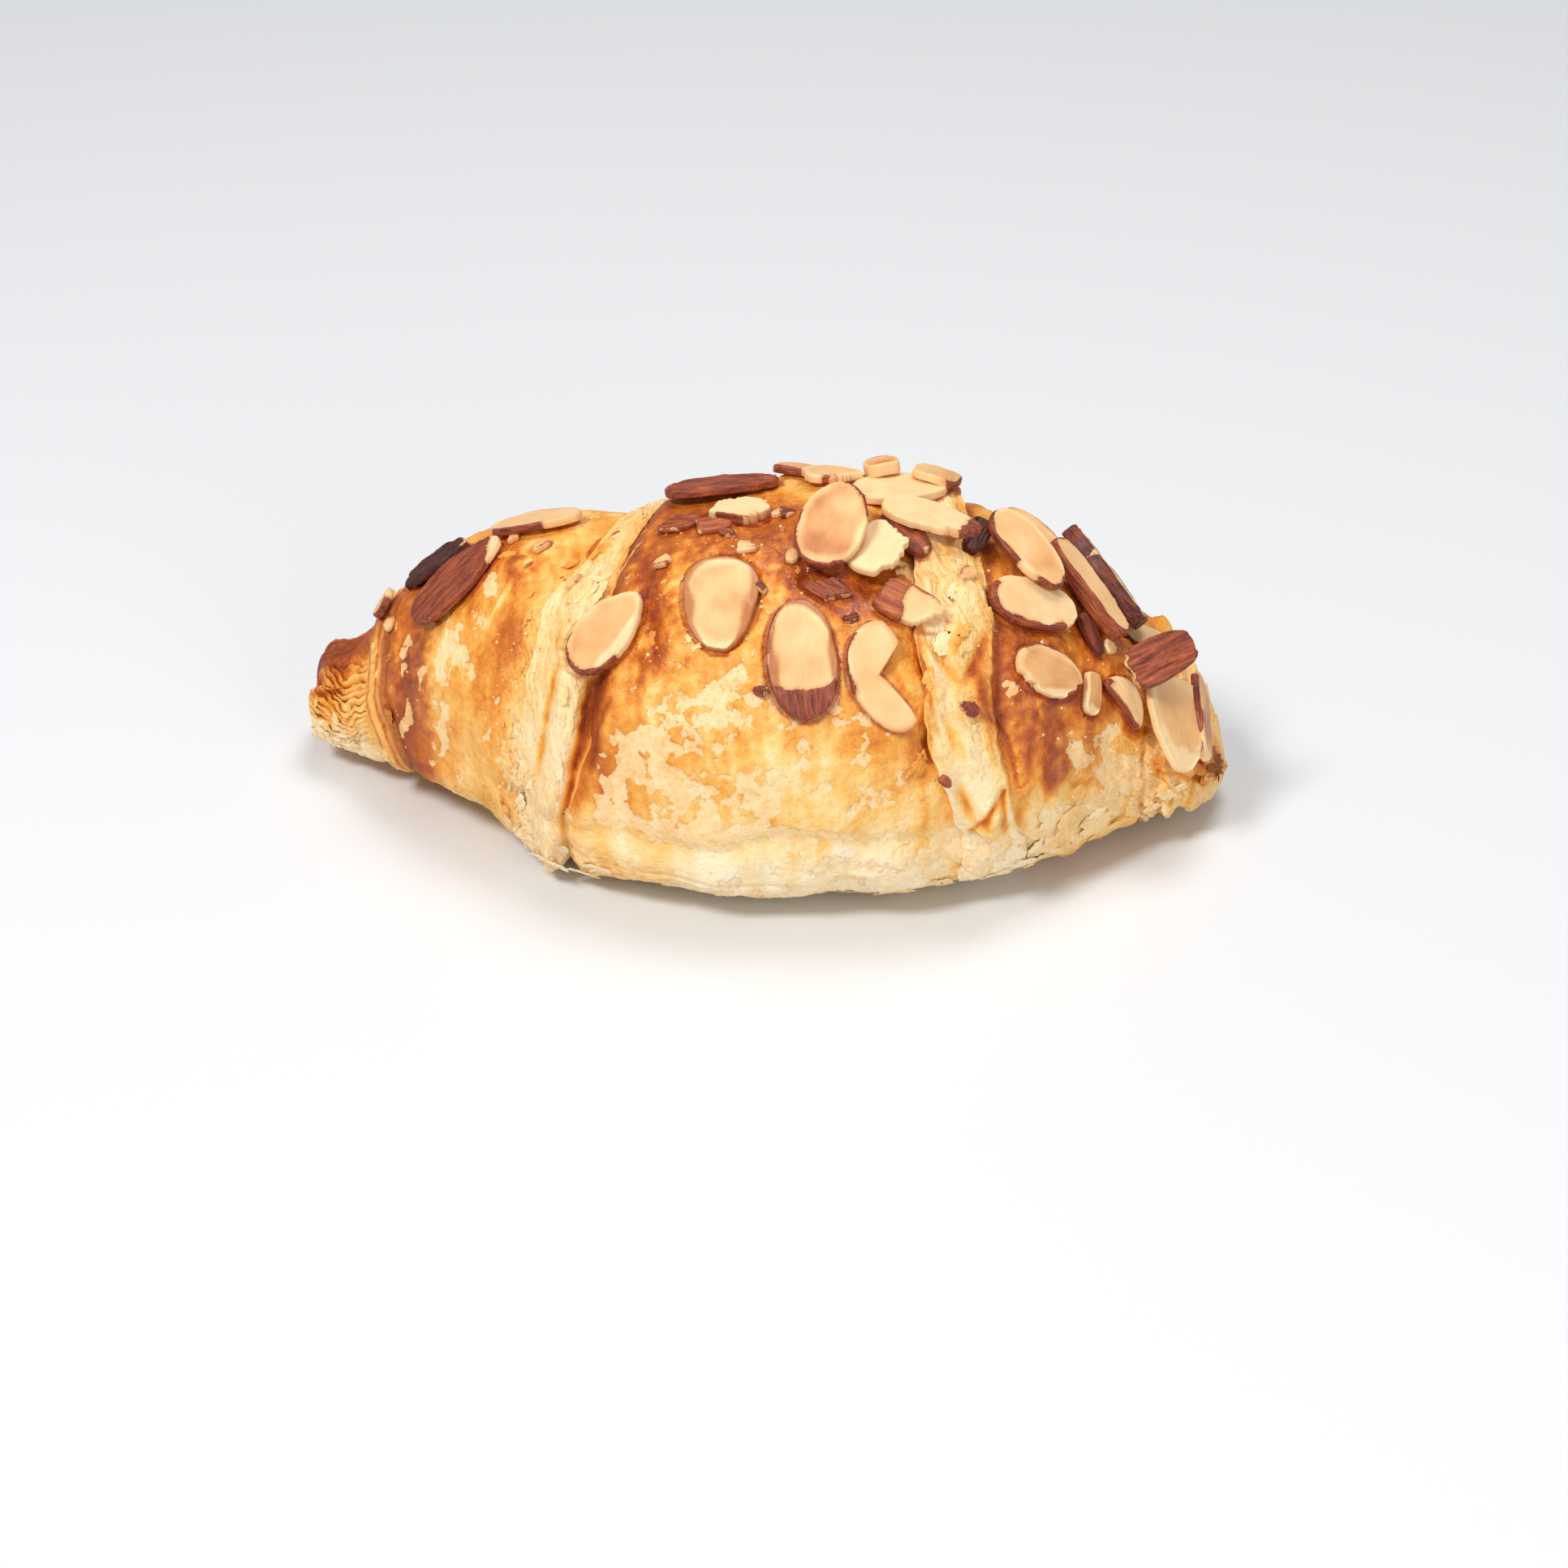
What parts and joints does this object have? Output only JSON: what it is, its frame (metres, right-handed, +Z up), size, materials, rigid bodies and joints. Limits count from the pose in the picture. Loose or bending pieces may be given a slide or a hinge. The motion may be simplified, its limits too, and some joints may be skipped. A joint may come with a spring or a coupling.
{
  "type": "almond croissant",
  "caption": "Golden-brown baked almond croissant, a curved roll of layered pastry with sliced almonds glazed onto its top.",
  "frame": {"origin": "on the floor, under the middle of the croissant's outline as seen from above", "axes": "+X along the croissant towards its crumbly right end, +Y from its bulging front to its back, +Z up"},
  "size_m": [0.174, 0.0868, 0.0717],
  "materials": {
    "crust": "satin",
    "almond_flesh": "satin",
    "almond_skin": "matte"
  },
  "bodies": {
    "root": {"croissant": "crust", "almond_crown_broken": "almond_flesh", "almond_crown_end": "almond_skin", "almond_crown_half": "almond_flesh", "almond_crown_oval": "almond_flesh", "almond_crown_pale": "almond_flesh", "almond_crown_peel": "almond_skin", "almond_crown_split": "almond_flesh", "almond_end_chip": "almond_flesh", "almond_end_curl": "almond_flesh", "almond_end_edge": "almond_flesh", "almond_end_large": "almond_flesh", "almond_end_leaf": "almond_skin", "almond_end_pale": "almond_flesh", "almond_front_crescent": "almond_flesh", "almond_front_glazed": "almond_flesh", "almond_front_left": "almond_flesh", "almond_front_oval": "almond_flesh", "almond_left_leaf": "almond_skin", "almond_left_rear": "almond_skin", "almond_left_ridge": "almond_flesh", "almond_peel_scraps": "almond_skin", "almond_ridge_chunk": "almond_flesh", "almond_ridge_leaf": "almond_skin", "almond_right_chip": "almond_skin", "almond_right_half": "almond_flesh", "almond_right_long": "almond_skin", "almond_right_oval": "almond_flesh", "almond_right_rear": "almond_flesh", "almond_right_stand": "almond_skin", "almond_right_toasted": "almond_flesh", "almond_tip": "almond_flesh", "almond_top_knob": "almond_flesh", "almond_top_left": "almond_flesh", "almond_top_middle": "almond_flesh", "almond_top_right": "almond_flesh"}
  },
  "joints": []
}
